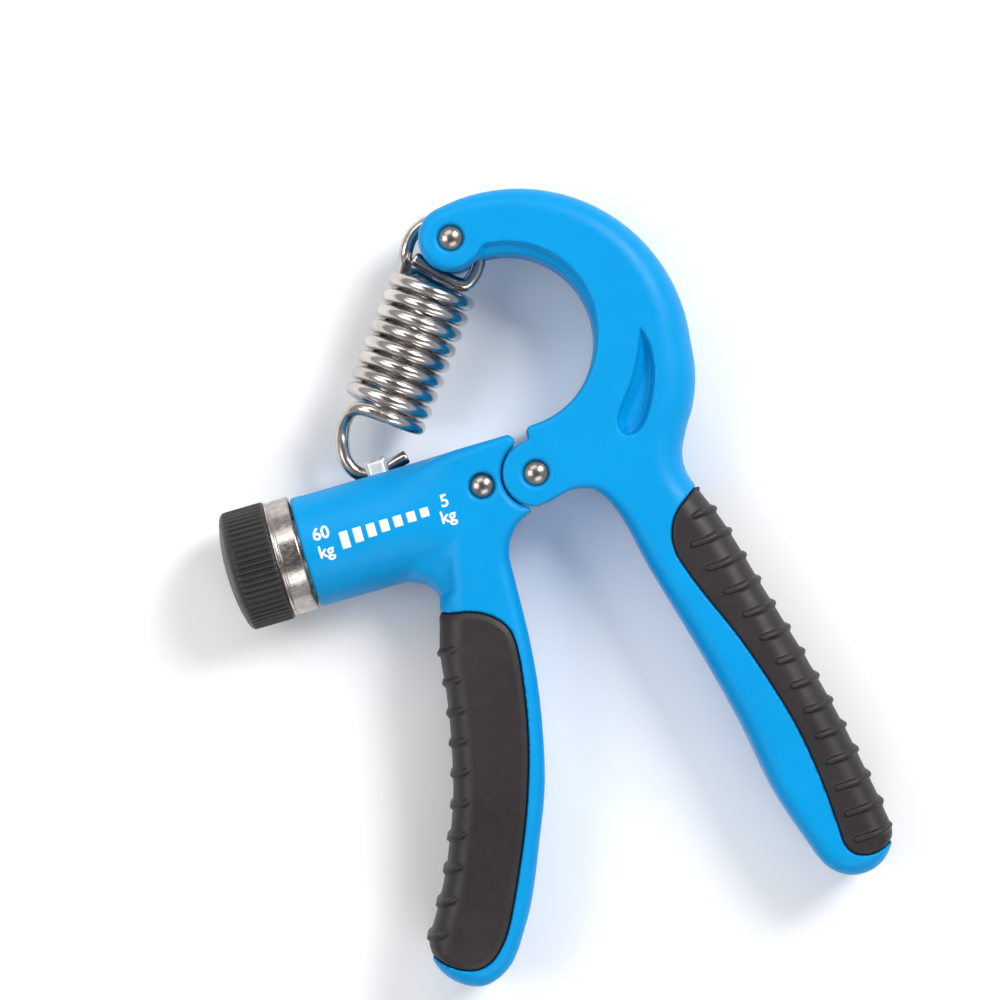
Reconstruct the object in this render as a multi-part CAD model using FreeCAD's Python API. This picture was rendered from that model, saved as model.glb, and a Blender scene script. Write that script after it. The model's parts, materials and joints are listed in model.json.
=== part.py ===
import FreeCAD, Part
import math
import os

# Adjustable hand grip strengthener: a fixed frame with a round arc and a palm handle, a
# squeeze lever with a finger handle and a screw barrel, and a tension spring between them.
# Millimetres. The origin lies on the hinge axis, in the flat back face of the frame.
# +X runs along the barrel from the knob to the hinge, +Y from the handles to the arc, and
# +Z from the back face to the front face.

V = FreeCAD.Vector
X_AXIS = V(1, 0, 0)
Z_AXIS = V(0, 0, 1)

# ---- driving dimensions ----
THICKNESS = 21.2                      # frame, lever and barrel from back to front
MID = THICKNESS / 2                   # height of the middle plane
HINGE_DISC_R = 6.3                    # round boss of the frame about the hinge axis
HINGE_GAP = 0.25                      # radial gap between the boss and the lever housing

ARC_CENTRE = (3.0, 21.3)              # outer round of the arc
ARC_END_ANGLE = -8.0
EYE_CENTRE = (1.8, 25.3)              # round opening inside the arc
EYE_R = 16.4
LEDGE_CENTRE = (2.2, 27.1)            # crescent step along the opening
LEDGE_R = 17.7
LEDGE_DEPTH = 2.4
ANCHOR = (-3.1, 46.9)                 # rivet that holds the spring's upper loop
ANCHOR_BOSS_R = 6.4
RECESS_DEPTH = 1.2                    # leaf-shaped recess in both faces of the arc

PALM_TIP_CENTRE = (38.3, -82.1)       # round lower end of the palm handle
PALM_TIP_R = 7.6
TIP_END_ANGLE = -165.0
RUBBER_WALL = 2.0                     # thickness of the rubber over the handle cores
RIB_COUNT = 14
RIB_PITCH = 5.1
RIB_WIDTH = 1.3
RIB_HEIGHT = 0.7
RIB_TOP_Y = -15.6
RIB_REACH = 0.8                       # how far each rib runs into the rubber

BARREL_AXIS_Y = -2.2
BARREL_R = THICKNESS / 2
BARREL_END_X = -46.2
BORE_R = 7.6
BORE_END_X = -18.5
SLOT_WIDTH = 6.0                      # slot along the barrel for the spring's lug
SLOT_X = (-43.5, -15.5)
BUSH_END_X = -43.1
CLIP_X = (-42.9, -42.0)

KNOB_R = 11.2
KNOB_X = (-63.0, -51.3)
KNOB_RIBS = 60
RING_R = 11.0
RING_X = (-51.3, -46.6)

SCREW_R = 3.0                         # M6 lead screw, 1 mm pitch
SCREW_TIP_R = 2.0
RUN_GAP = 0.05                        # radial clearance of a running fit
CLIP_R = 5.0
CLIP_BORE_R = 2.4
NUT_X = (-31.6, -25.6)
NUT_R = 7.3
LUG_X = (-30.9, -26.4)
LUG_WIDTH = 5.4
LUG_TOP_Y = 11.6
EYE_HOLE_Y = 8.3                      # cross hole in the lug for the spring's hook
EYE_HOLE_R = 1.6

RIVET_HEAD_R = 2.38
RIVET_RIM = 0.45                      # straight rim under the dome of the head
RIVET_DOME_R = 4.3
RIVET_R = 1.6
RIVET_TAIL_R = 2.1
RIVET_TAIL_Z = (0.25, 0.95)           # formed end, below the back face
COUNTERBORE_R = 2.6
COUNTERBORE_DEPTH = 1.0
WASHER_R = 3.35
WASHER_Z = (0.95, 1.5)
HOUSING_RIVET = (-10.4, 0.5)
BARREL_RIVET_FACE_Z = 20.8            # height of the round barrel at the housing rivet

TONGUE_THICK = 3.0
TONGUE_R = 6.0
TONGUE_SLOT = 3.2
STOP_R = 8.0                          # nose of the tongue that stops the lever at rest
STOP_ANGLES = (-17.0, 9.0)
STOP_SLACK = 1.5                      # degrees between the nose and each end of its pocket
POCKET_GAP = 0.5
LEVER_SWING = 36.0
BEYOND = 2.0                          # how far a cutting shape runs past a face

WIRE_R = 1.33
COIL_R = 7.22                         # mean radius of the coils
COIL_PITCH = 3.15
SPRING_AXIS = V(-0.608, -0.794, 0).normalize()
COIL_START = 9.7                      # from the anchor to the first coil, along the axis
COIL_FROM = -0.42                     # turns, counted from the first coil's right side
COIL_TURNS = 7.0
LAST_TURN_END = 8.35
SHOULDER = V(-30.6, 20.8, MID + 3.0)  # where the wire leaves the last turn
LEG_BEND = V(-33.4, 18.0, MID + 0.2)
LEG_SPLIT = 0.6                       # where last turn and hook meet on that straight run
HOOK_BEND_R = 3.0
LOOP_CENTRE = (-5.6, 44.7)
LOOP_R = 8.0
LOOP_SLOT = 3.4                       # slot in the anchor boss for the spring's loop
LOOP_SLOT_R = 10.2
BUSH_R = 3.2


# ---- small tools ----
def at(point, z=0.0):
    return V(point[0], point[1], z)


def polar(centre, radius, degrees, z=0.0):
    angle = math.radians(degrees)
    return V(centre[0] + radius * math.cos(angle), centre[1] + radius * math.sin(angle), z)


def arc(centre, radius, start, end):
    middle = (start + end) / 2
    return Part.Arc(polar(centre, radius, start), polar(centre, radius, middle),
                    polar(centre, radius, end)).toShape()


def line(a, b):
    return Part.LineSegment(a, b).toShape()


def clockwise(degrees):
    """Direction of travel clockwise round a circle at an angle."""
    angle = math.radians(degrees)
    return V(math.sin(angle), -math.cos(angle), 0)


def spline(points, **end_directions):
    curve = Part.BSplineCurve()
    curve.interpolate(Points=points, **end_directions)
    return curve.toShape()


def prism(edges, z0, z1):
    face = Part.Face(Part.Wire(edges))
    solid = face.extrude(V(0, 0, z1 - z0))
    solid.translate(V(0, 0, z0))
    return solid


def upright(centre, radius, z0, z1):
    return Part.makeCylinder(radius, z1 - z0, at(centre, z0), Z_AXIS)


def along_barrel(radius, x0, x1):
    return Part.makeCylinder(radius, x1 - x0, V(x0, BARREL_AXIS_Y, MID), X_AXIS)


def block(x0, x1, y0, y1, z0, z1):
    return Part.makeBox(x1 - x0, y1 - y0, z1 - z0, V(x0, y0, z0))


def save(name, shape):
    if shape.ShapeType == "Compound" and len(shape.Solids) == 1:
        shape = shape.Solids[0]
    print(name, shape.ShapeType, len(shape.Solids), shape.isValid(), round(shape.Volume, 1))
    shape.exportStep("parts/" + name + ".step")


# ---- outlines ----
def arc_outer_r():
    reach = math.hypot(ANCHOR[0] - ARC_CENTRE[0], ANCHOR[1] - ARC_CENTRE[1])
    return reach + ANCHOR_BOSS_R


def palm_side(first, last):
    """Palm side of the frame, from the arc down to the round tip of the handle."""
    points = [first, V(34.5, 10.5, 0), V(30.4, 1.2, 0), V(27.5, -4.4, 0), V(27.8, -8.4, 0),
              V(32.2, -18.3, 0), V(36.3, -33.7, 0), V(40.2, -48.0, 0), V(43.0, -61.0, 0),
              V(45.0, -74.0, 0), last]
    return spline(points, InitialTangent=clockwise(ARC_END_ANGLE), FinalTangent=clockwise(0))


def finger_gap_side(first, last):
    """Inner side of the palm handle, from its round tip up to the hinge boss."""
    points = [first, V(27.0, -71.0, 0), V(24.7, -56.3, 0), V(21.0, -41.0, 0),
              V(15.8, -22.5, 0), V(12.6, -9.8, 0), V(9.4, -5.7, 0), V(5.6, -5.0, 0), last]
    into_boss = V(-0.97, -0.22, 0)
    return spline(points, InitialTangent=clockwise(TIP_END_ANGLE), FinalTangent=into_boss)


def frame_outline():
    outer_r = arc_outer_r()
    boss_angle = math.degrees(math.atan2(ANCHOR[1] - ARC_CENTRE[1], ANCHOR[0] - ARC_CENTRE[0]))
    arc_end = polar(ARC_CENTRE, outer_r, ARC_END_ANGLE)
    tip_start = polar(PALM_TIP_CENTRE, PALM_TIP_R, 0)
    tip_end = polar(PALM_TIP_CENTRE, PALM_TIP_R, TIP_END_ANGLE)
    hinge_low = polar((0, 0), HINGE_DISC_R, 258)
    notch_low = polar((0, 0), HINGE_DISC_R, 86)
    notch_top = V(notch_low.x, 8.3, 0)
    eye_low = polar(EYE_CENTRE, EYE_R, -92.5)
    # where the round opening runs into the boss of the anchor rivet
    crossing = -55.0
    eye_top = polar(ANCHOR, ANCHOR_BOSS_R, crossing)
    eye_top_angle = math.degrees(math.atan2(eye_top.y - EYE_CENTRE[1], eye_top.x - EYE_CENTRE[0]))
    eye_mid = polar(EYE_CENTRE, EYE_R, (eye_top_angle - 92.5) / 2)
    return [
        arc((0, 0), HINGE_DISC_R, 86, 258),
        line(notch_low, notch_top),
        line(notch_top, eye_low),
        Part.Arc(eye_low, eye_mid, eye_top).toShape(),
        arc(ANCHOR, ANCHOR_BOSS_R, crossing, boss_angle - 360),
        arc(ARC_CENTRE, outer_r, boss_angle, ARC_END_ANGLE),
        palm_side(arc_end, tip_start),
        arc(PALM_TIP_CENTRE, PALM_TIP_R, 0, TIP_END_ANGLE),
        finger_gap_side(tip_end, hinge_low),
    ]


def lever_outline():
    """Finger handle with the block that carries the hinge, as one flat outline."""
    back_of_fingers = [V(-3.6, -7.3, 0), V(-7.4, -9.9, 0), V(-9.4, -14.0, 0), V(-9.6, -25.0, 0),
                       V(-11.2, -41.4, 0), V(-14.6, -56.4, 0), V(-21.1, -72.9, 0),
                       V(-27.9, -84.8, 0)]
    front_of_fingers = [V(-43.9, -79.4, 0), V(-37.4, -68.0, 0), V(-32.0, -55.0, 0),
                        V(-28.2, -39.6, 0), V(-26.8, -27.5, 0), V(-24.4, -18.6, 0),
                        V(-27.4, -13.6, 0), V(-32.0, -12.4, 0)]
    tip = Part.Arc(back_of_fingers[-1], V(-37.1, -90.0, 0), front_of_fingers[0]).toShape()
    top_left = V(-32.0, -6.0, 0)
    neck = V(-15.0, -2.0, 0)
    top = V(-15.0, 8.2, 0)
    corner = V(-2.3, 8.2, 0)
    return [
        spline(back_of_fingers),
        tip,
        spline(front_of_fingers),
        line(front_of_fingers[-1], top_left),
        line(top_left, neck),
        line(neck, top),
        line(top, corner),
        line(corner, back_of_fingers[0]),
    ]


def palm_rubber_region():
    """Everything on the palm side of the line where the rubber meets the frame."""
    border = [V(28.3, -9.6, 0), V(25.0, -13.2, 0), V(21.4, -17.5, 0), V(21.2, -24.1, 0),
              V(27.9, -39.9, 0), V(33.8, -59.6, 0), V(36.0, -79.4, 0), V(37.2, -85.0, 0),
              V(41.0, -86.4, 0), V(45.6, -84.2, 0)]
    corners = [border[-1], V(60, -80, 0), V(60, -5, 0), border[0]]
    edges = [spline(border)]
    edges += [line(a, b) for a, b in zip(corners, corners[1:])]
    return prism(edges, -5, THICKNESS + 5)


def finger_rubber_region():
    """Everything on the finger side of the line where the rubber meets the lever."""
    border = [V(-24.0, -20.1, 0), V(-19.9, -21.4, 0), V(-14.5, -24.4, 0), V(-12.5, -29.0, 0),
              V(-14.2, -43.1, 0), V(-19.2, -60.0, 0), V(-26.9, -77.0, 0), V(-31.0, -83.8, 0),
              V(-36.1, -86.6, 0), V(-41.2, -84.9, 0), V(-44.2, -81.6, 0)]
    corners = [border[-1], V(-60, -80, 0), V(-60, -20, 0), border[0]]
    edges = [spline(border)]
    edges += [line(a, b) for a, b in zip(corners, corners[1:])]
    return prism(edges, -5, THICKNESS + 5)


# ---- rivets and their washers ----
def rivet(centre, face_z):
    """Dome-headed rivet, with its formed end sunk in the back face."""
    seat_z = face_z - COUNTERBORE_DEPTH
    rim_z = seat_z + RIVET_RIM
    ball_z = rim_z - math.sqrt(RIVET_DOME_R ** 2 - RIVET_HEAD_R ** 2)
    shank = upright(centre, RIVET_R, RIVET_TAIL_Z[0], rim_z)
    rim = upright(centre, RIVET_HEAD_R, seat_z, rim_z)
    ball = Part.makeSphere(RIVET_DOME_R, at(centre, ball_z))
    cap = ball.common(upright(centre, RIVET_HEAD_R, seat_z, face_z + BEYOND))
    tail = upright(centre, RIVET_TAIL_R, *RIVET_TAIL_Z)
    return shank.multiFuse([rim, cap, tail]).removeSplitter()


def shank_hole(centre):
    return upright(centre, RIVET_R + RUN_GAP, -BEYOND, THICKNESS + BEYOND)


def rivet_hole(centre, face_z):
    """Shank hole, round seat for the head and seat for the washer under the formed end."""
    seat = upright(centre, COUNTERBORE_R, face_z - COUNTERBORE_DEPTH, THICKNESS + BEYOND)
    back_seat = upright(centre, WASHER_R + RUN_GAP, -BEYOND, WASHER_Z[1])
    return shank_hole(centre).multiFuse([seat, back_seat])


def rivet_washer(centre):
    return upright(centre, WASHER_R, *WASHER_Z).cut(shank_hole(centre))


# ---- fixed frame ----
def ledge_cut(z0, z1):
    ring = upright(LEDGE_CENTRE, LEDGE_R, z0, z1)
    return ring.cut(upright(ANCHOR, ANCHOR_BOSS_R, z0 - BEYOND, z1 + BEYOND))


def leaf_recess(z0, z1):
    outline = [V(26.6, 20.6, 0), V(26.9, 14.5, 0), V(25.0, 8.2, 0), V(22.4, 3.9, 0),
               V(19.4, 2.2, 0), V(17.6, 4.4, 0), V(19.4, 7.9, 0), V(22.4, 11.6, 0),
               V(25.0, 16.6, 0), V(26.6, 20.6, 0)]
    return prism([spline(outline)], z0, z1)


def tongue_pocket():
    """Slot in the hinge boss, with room for the stop nose to sweep through."""
    low, high = MID - TONGUE_SLOT / 2, MID + TONGUE_SLOT / 2
    slot = upright((0, 0), TONGUE_R + POCKET_GAP, low, high)
    start = STOP_ANGLES[0] - STOP_SLACK
    sweep = STOP_ANGLES[1] + LEVER_SWING + STOP_SLACK - start
    wedge = Part.makeCylinder(STOP_R + POCKET_GAP, high - low, V(0, 0, low), Z_AXIS, sweep)
    wedge.rotate(V(0, 0, 0), Z_AXIS, start)
    return slot.fuse(wedge)


def fixed_frame(blank, rubber):
    body = blank.cut(rubber)
    front, back = THICKNESS - LEDGE_DEPTH, LEDGE_DEPTH
    cuts = [
        ledge_cut(front, THICKNESS + BEYOND),
        ledge_cut(-BEYOND, back),
        leaf_recess(THICKNESS - RECESS_DEPTH, THICKNESS + BEYOND),
        leaf_recess(-BEYOND, RECESS_DEPTH),
        tongue_pocket(),
        upright(LOOP_CENTRE, LOOP_SLOT_R, MID - LOOP_SLOT / 2, MID + LOOP_SLOT / 2),
        rivet_hole((0, 0), THICKNESS),
        rivet_hole(ANCHOR, THICKNESS),
    ]
    return body.cut(cuts)


def rubber_skin(handle, region, inward):
    """Skin of rubber over one side of a handle, moulded round the handle's own core."""
    core = handle.copy()
    core.translate(inward)
    slab = block(-80, 80, -120, 40, RUBBER_WALL, THICKNESS - RUBBER_WALL)
    return handle.common(region).cut(core.common(slab))


def palm_grip(skin):
    """Rubber skin of the palm handle with its raised cross ribs."""
    ribs = []
    for i in range(RIB_COUNT):
        y = RIB_TOP_Y - i * RIB_PITCH
        slice_at_rib = skin.common(block(0, 60, y - RUN_GAP, y + RUN_GAP, 0, THICKNESS))
        side = slice_at_rib.BoundBox.XMax
        ribs.append(rib_bar(side - RIB_REACH, side + RIB_HEIGHT, y))
    return skin.multiFuse(ribs).removeSplitter()


def rib_bar(x0, x1, y):
    """One rib, bent round the palm side from the front to the back."""
    half = RIB_WIDTH / 2
    bar = block(x0, x1, y - half, y + half, RUBBER_WALL, THICKNESS - RUBBER_WALL)
    corners = [e for e in bar.Edges if e.BoundBox.XMin > x1 - RUN_GAP]
    return bar.makeFillet(half - 0.15, corners)


# ---- lever ----
def lever_blank():
    handle = prism(lever_outline(), 0, THICKNESS)
    barrel = along_barrel(BARREL_R, BARREL_END_X, -12.0)
    rim = [e for e in barrel.Edges if abs(e.BoundBox.XMax - BARREL_END_X) < 1e-4]
    barrel = barrel.makeFillet(1.2, rim)
    return handle, handle.fuse(barrel)


def barrel_hollow():
    """Bore for the nut, seat for the screw's tip, and the slot that the lug runs in."""
    bore = along_barrel(BORE_R, BARREL_END_X - 1, BORE_END_X)
    tip = along_barrel(SCREW_TIP_R + RUN_GAP, BORE_END_X - 1, BORE_END_X + 2.0)
    half = SLOT_WIDTH / 2
    slot = block(SLOT_X[0], BORE_END_X, BARREL_AXIS_Y, 14, MID - half, MID + half)
    groove = block(BORE_END_X - 1, SLOT_X[1], 6.3, 14, MID - half, MID + half)
    return [bore, tip, slot, groove]


def lever_housing(blank, rubber):
    gap_r = HINGE_DISC_R + HINGE_GAP
    low, high = MID - TONGUE_SLOT / 2, MID + TONGUE_SLOT / 2
    plate_slot = block(-15.6, 0, -4.6, 5.6, low, high)
    cuts = barrel_hollow() + [
        upright((0, 0), gap_r, -1, THICKNESS + 1),
        plate_slot,
        rivet_hole(HOUSING_RIVET, BARREL_RIVET_FACE_Z),
    ]
    return blank.cut(rubber).cut(cuts)


def hinge_tongue():
    """Steel plate that is riveted in the housing and turns on the hinge rivet."""
    low, high = MID - TONGUE_THICK / 2, MID + TONGUE_THICK / 2
    disc = upright((0, 0), TONGUE_R, low, high)
    tail = upright(HOUSING_RIVET, 4.6, low, high)
    web = block(HOUSING_RIVET[0], 0, -4.0, 5.0, low, high)
    sweep = STOP_ANGLES[1] - STOP_ANGLES[0]
    nose = Part.makeCylinder(STOP_R, high - low, V(0, 0, low), Z_AXIS, sweep)
    nose.rotate(V(0, 0, 0), Z_AXIS, STOP_ANGLES[0])
    plate = disc.multiFuse([tail, web, nose]).removeSplitter()
    holes = [upright((0, 0), RIVET_R + RUN_GAP, 0, THICKNESS),
             upright(HOUSING_RIVET, RIVET_R + RUN_GAP, 0, THICKNESS)]
    return plate.cut(holes)


def barrel_end_bush():
    sleeve = along_barrel(BORE_R, BARREL_END_X + 0.2, BUSH_END_X)
    return sleeve.cut(along_barrel(SCREW_R + RUN_GAP, BARREL_END_X - 1, BUSH_END_X + 1))


# ---- knob and screw ----
def knob_cap():
    """Knob with fine ribs along its rim, a round outer end and a hexagon pocket."""
    body = along_barrel(KNOB_R, KNOB_X[0], KNOB_X[1])
    rim = [e for e in body.Edges if abs(e.BoundBox.XMax - KNOB_X[0]) < 1e-4]
    body = body.makeFillet(3.0, rim)
    grooves = []
    for i in range(KNOB_RIBS):
        angle = 2 * math.pi * i / KNOB_RIBS
        y = BARREL_AXIS_Y + (KNOB_R + 0.1) * math.cos(angle)
        z = MID + (KNOB_R + 0.1) * math.sin(angle)
        grooves.append(Part.makeCylinder(0.35, 20, V(KNOB_X[0] + 2.8, y, z), X_AXIS))
    return body.cut(grooves).cut(hexagon(5.05, -56.6, KNOB_X[1] + 1))


def hexagon(flat_r, x0, x1):
    corner_r = flat_r / math.cos(math.radians(30))
    points = []
    for i in range(7):
        angle = math.radians(60 * i)
        y = BARREL_AXIS_Y + corner_r * math.cos(angle)
        points.append(V(x0, y, MID + corner_r * math.sin(angle)))
    return Part.Face(Part.makePolygon(points)).extrude(V(x1 - x0, 0, 0))


def knob_ring():
    ring = along_barrel(RING_R, RING_X[0], RING_X[1])
    return ring.cut(along_barrel(RING_R - 0.9, RING_X[0] - 1, RING_X[1] + 1))


def knob_insert():
    """Plain core inside the ring, which keys the knob to the screw's hexagon head."""
    core = along_barrel(RING_R - 0.9, RING_X[0], RING_X[1] - 0.6)
    return core.cut(along_barrel(SCREW_R, RING_X[0] - 1, RING_X[1] + 1))


def lead_screw():
    head = hexagon(5.0, -56.5, RING_X[0])
    shank = along_barrel(SCREW_R, RING_X[0] - 1, BORE_END_X - 0.4)
    tip = along_barrel(SCREW_TIP_R, BORE_END_X - 1, BORE_END_X + 1.8)
    screw = head.multiFuse([shank, tip])
    groove = along_barrel(SCREW_R + 1, CLIP_X[0], CLIP_X[1])
    return screw.cut(groove.cut(along_barrel(CLIP_BORE_R, CLIP_X[0] - 1, CLIP_X[1] + 1)))


def thrust_washer():
    ring = along_barrel(6.5, RING_X[1] - 0.6, BARREL_END_X + 0.1)
    return ring.cut(along_barrel(SCREW_R + RUN_GAP, -50, -40))


def retaining_clip():
    """Snap clip that sits in the screw's groove, open on one side."""
    start, end = CLIP_X[0] - 1, CLIP_X[1] + 1
    ring = along_barrel(CLIP_R, CLIP_X[0], CLIP_X[1])
    mouth = block(start, end, BARREL_AXIS_Y - 6, BARREL_AXIS_Y, MID - 1.6, MID + 1.6)
    return ring.cut([along_barrel(CLIP_BORE_R, start, end), mouth])


# ---- carriage ----
def carriage_nut():
    """Nut on the lead screw, with the lug that stands out of the barrel's slot."""
    nut = along_barrel(NUT_R, NUT_X[0], NUT_X[1])
    half = LUG_WIDTH / 2
    lug = block(LUG_X[0], LUG_X[1], BARREL_AXIS_Y + 3, LUG_TOP_Y, MID - half, MID + half)
    top = [e for e in lug.Edges if e.BoundBox.YMin > LUG_TOP_Y - 0.01]
    lug = lug.makeChamfer(1.0, top)
    hole = Part.makeCylinder(EYE_HOLE_R, 20, V(-38, EYE_HOLE_Y, MID), X_AXIS)
    bore = along_barrel(SCREW_R + RUN_GAP, NUT_X[0] - 1, NUT_X[1] + 1)
    return nut.fuse(lug).removeSplitter().cut([hole, bore])


# ---- spring ----
def anchor_bush():
    low, high = MID - LOOP_SLOT / 2 + 0.1, MID + LOOP_SLOT / 2 - 0.1
    bush = upright(ANCHOR, BUSH_R, low, high)
    return bush.cut(upright(ANCHOR, RIVET_R + RUN_GAP, 0, THICKNESS))


def side_axis():
    return SPRING_AXIS.cross(Z_AXIS) * -1


def on_coil(turns):
    """A point on the wire's centre line, counted in turns from the first coil's right side."""
    angle = 2 * math.pi * turns
    along = SPRING_AXIS * (COIL_START + COIL_PITCH * turns)
    across = side_axis() * (COIL_R * math.cos(angle)) + Z_AXIS * (COIL_R * math.sin(angle))
    return at(ANCHOR, MID) + along + across


def coil(first, last):
    """Round wire wound from one turn count to another."""
    helix = Part.makeHelix(COIL_PITCH, COIL_PITCH * (last - first), COIL_R)
    slope = math.atan2(COIL_PITCH, 2 * math.pi * COIL_R)
    ring = Part.Circle(V(COIL_R, 0, 0), V(0, math.cos(slope), math.sin(slope)), WIRE_R)
    wire = Part.Wire(helix.Edges)
    solid = wire.makePipeShell([Part.Wire(ring.toShape())], True, True)
    solid.rotate(V(0, 0, 0), Z_AXIS, 360 * first)
    spring_axes = FreeCAD.Matrix(
        side_axis().x, 0, SPRING_AXIS.x, 0,
        side_axis().y, 0, SPRING_AXIS.y, 0,
        0, 1, 0, 0,
        0, 0, 0, 1)
    spring_axes.move(at(ANCHOR, MID) + SPRING_AXIS * (COIL_START + COIL_PITCH * first))
    solid.Placement = FreeCAD.Placement(spring_axes).multiply(solid.Placement)
    return solid


def rod(points):
    """Straight lengths of wire with round bends."""
    pieces = [Part.makeSphere(WIRE_R, p) for p in points[1:-1]]
    for a, b in zip(points, points[1:]):
        pieces.append(Part.makeCylinder(WIRE_R, (b - a).Length, a, b - a))
    return pieces


def spring_upper_loop():
    """Full loop round the anchor bush, and the straight end that crosses back over the coils."""
    torus = Part.makeTorus(LOOP_R, WIRE_R, at(LOOP_CENTRE, MID), Z_AXIS, 0, 360, 225)
    torus.rotate(at(LOOP_CENTRE), Z_AXIS, -55)
    start = polar(LOOP_CENTRE, LOOP_R, 170, MID)
    loop_end = polar(LOOP_CENTRE, LOOP_R, -55, MID)
    bends = [Part.makeSphere(WIRE_R, start), Part.makeSphere(WIRE_R, loop_end)]
    neck = rod([start, on_coil(COIL_FROM)])
    tail = rod([loop_end, V(-3.4, 37.9, MID), V(-10.6, 45.2, MID)])
    return torus.multiFuse(bends + neck + tail)


def spring_coils():
    return coil(COIL_FROM, COIL_TURNS)


def leg_point(share):
    """A point on the straight run from the shoulder to the bend of the leg."""
    return SHOULDER + (LEG_BEND - SHOULDER) * share


def spring_last_turn():
    wound = coil(COIL_TURNS, LAST_TURN_END)
    return wound.multiFuse(rod([on_coil(LAST_TURN_END), SHOULDER, leg_point(LEG_SPLIT)]))


def bent_path(points, bend_r):
    """Straight runs between points, joined by round bends."""
    edges, last = [], points[0]
    for before, corner, after in zip(points, points[1:], points[2:]):
        back, ahead = (before - corner).normalize(), (after - corner).normalize()
        half = back.getAngle(ahead) / 2
        start, end = corner + back * (bend_r / math.tan(half)), corner + ahead * (bend_r / math.tan(half))
        top = corner + (back + ahead).normalize() * (bend_r / math.sin(half) - bend_r)
        edges += [Part.makeLine(last, start), Part.Arc(start, top, end).toShape()]
        last = end
    return Part.Wire(edges + [Part.makeLine(last, points[-1])])


def spring_hook():
    """Leg and eye of the lower hook, through the hole in the lug."""
    start = leg_point(LEG_SPLIT + 0.02)
    path = bent_path([start, LEG_BEND, V(-34.2, 12.2, MID), V(-32.6, EYE_HOLE_Y, MID),
                      V(-25.0, EYE_HOLE_Y, MID), V(-22.6, 9.8, MID)], HOOK_BEND_R)
    section = Part.Wire(Part.makeCircle(WIRE_R, start, LEG_BEND - SHOULDER))
    return path.makePipeShell([section], True, True)


def main():
    os.makedirs("parts", exist_ok=True)

    blank = prism(frame_outline(), 0, THICKNESS)
    palm_skin = rubber_skin(blank, palm_rubber_region(), V(-RUBBER_WALL, RUBBER_WALL, 0))
    save("fixed_frame", fixed_frame(blank, palm_skin))
    save("palm_grip", palm_grip(palm_skin))
    save("hinge_rivet", rivet((0, 0), THICKNESS))
    save("anchor_rivet", rivet(ANCHOR, THICKNESS))
    save("hinge_rivet_washer", rivet_washer((0, 0)))
    save("anchor_rivet_washer", rivet_washer(ANCHOR))

    handle, lever = lever_blank()
    finger_skin = rubber_skin(handle, finger_rubber_region(), V(RUBBER_WALL, RUBBER_WALL, 0))
    save("lever_housing", lever_housing(lever, finger_skin))
    save("finger_grip", finger_skin)
    save("hinge_tongue", hinge_tongue())
    save("housing_rivet", rivet(HOUSING_RIVET, BARREL_RIVET_FACE_Z))
    save("housing_rivet_washer", rivet_washer(HOUSING_RIVET))
    save("barrel_end_bush", barrel_end_bush())

    save("knob_cap", knob_cap())
    save("knob_ring", knob_ring())
    save("knob_insert", knob_insert())
    save("lead_screw", lead_screw())
    save("thrust_washer", thrust_washer())
    save("retaining_clip", retaining_clip())

    save("carriage_nut", carriage_nut())
    save("anchor_bush", anchor_bush())
    save("spring_upper_loop", spring_upper_loop())
    save("spring_coils", spring_coils())
    save("spring_last_turn", spring_last_turn())
    save("spring_hook", spring_hook())


main()
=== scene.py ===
import json
import math

import bmesh
import bpy
import numpy as np
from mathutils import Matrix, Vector


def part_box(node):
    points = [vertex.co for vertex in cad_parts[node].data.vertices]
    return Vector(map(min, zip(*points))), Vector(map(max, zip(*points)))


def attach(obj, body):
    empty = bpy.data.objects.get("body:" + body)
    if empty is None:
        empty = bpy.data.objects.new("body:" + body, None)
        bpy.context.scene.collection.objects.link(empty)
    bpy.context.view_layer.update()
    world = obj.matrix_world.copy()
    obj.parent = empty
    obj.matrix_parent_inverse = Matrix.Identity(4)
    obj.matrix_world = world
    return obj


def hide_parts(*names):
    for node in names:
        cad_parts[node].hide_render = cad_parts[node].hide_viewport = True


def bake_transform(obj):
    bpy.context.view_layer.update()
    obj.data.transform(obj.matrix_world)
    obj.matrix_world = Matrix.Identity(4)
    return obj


# Looks of the adjustable hand grip. Lengths are millimetres in the frame's axes, and become
# metres when a mesh is made. The mouldings are described as distance fields: a field is
# negative inside the material and zero on its surface.

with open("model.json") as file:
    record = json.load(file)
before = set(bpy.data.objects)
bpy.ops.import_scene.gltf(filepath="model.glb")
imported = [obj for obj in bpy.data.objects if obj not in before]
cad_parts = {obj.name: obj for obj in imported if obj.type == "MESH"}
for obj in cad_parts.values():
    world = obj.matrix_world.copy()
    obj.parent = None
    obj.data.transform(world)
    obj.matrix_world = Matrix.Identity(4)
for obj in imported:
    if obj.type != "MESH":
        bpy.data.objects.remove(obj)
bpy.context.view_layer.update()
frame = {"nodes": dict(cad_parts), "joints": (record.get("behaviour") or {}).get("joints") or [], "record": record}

MM = 0.001
JOINTS = {joint["name"]: joint for joint in frame["joints"]}
SLOT_OF = {entry["node"]: entry["material_slot"] for entry in frame["record"]["subparts"]}


def corners(node):
    """Lowest and highest corner of a node, in millimetres."""
    low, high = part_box(node)
    return np.array(low) / MM, np.array(high) / MM


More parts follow.
